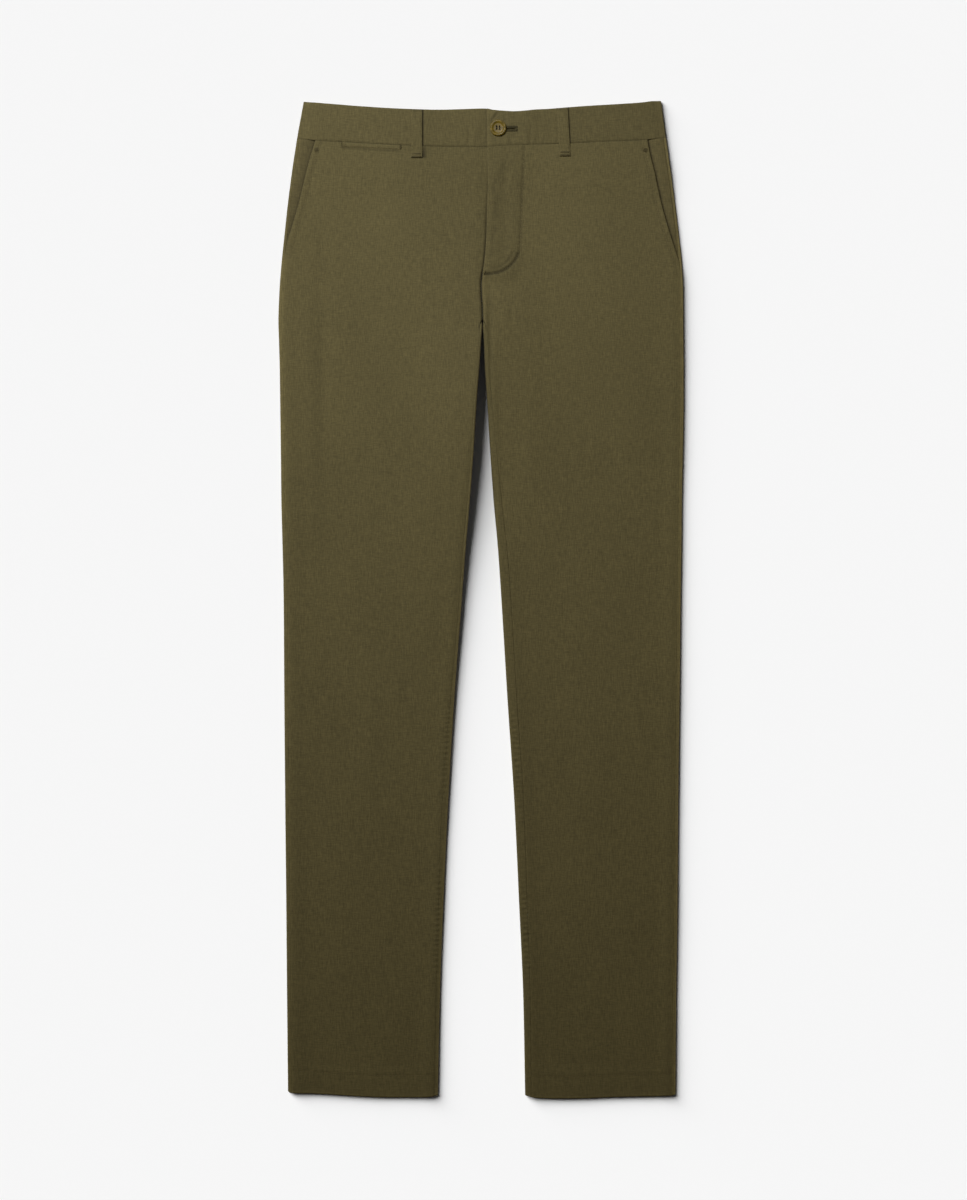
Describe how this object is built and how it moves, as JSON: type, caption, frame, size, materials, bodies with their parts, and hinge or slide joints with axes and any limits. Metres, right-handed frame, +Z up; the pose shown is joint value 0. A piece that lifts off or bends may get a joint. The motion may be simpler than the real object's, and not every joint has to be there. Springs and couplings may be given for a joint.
{
  "type": "chino trousers",
  "caption": "Olive cotton chino trousers laid flat with the front up: buttoned waistband, belt loops, zip fly, slant side pockets and straight hemmed legs.",
  "frame": {"origin": "middle of the bounding box, on the surface that the trousers lie on", "axes": "+Y from the hems to the waistband, +X to the wearer's left, +Z up from the surface, out of the front"},
  "size_m": [0.4276, 1.0486, 0.0142],
  "materials": {
    "twill": "brushed heathered cotton twill, matte",
    "pocketing": "the same twill on the bearer, plain pocketing behind it",
    "zip_tape": "woven tape",
    "button": "mottled horn, semi-gloss"
  },
  "bodies": {
    "root": {"front_right": "twill", "front_left": "twill", "back_right": "twill", "back_left": "twill", "waistband_right": "twill", "waistband_left": "twill", "coin_pocket_welt": "twill", "belt_loop_front_right": "twill", "belt_loop_front_left": "twill", "belt_loop_back_right": "twill", "belt_loop_back_centre": "twill", "belt_loop_back_left": "twill", "side_pocket_right": "pocketing", "side_pocket_left": "pocketing", "fly_zip": "zip_tape", "waist_button": "button"}
  },
  "joints": []
}
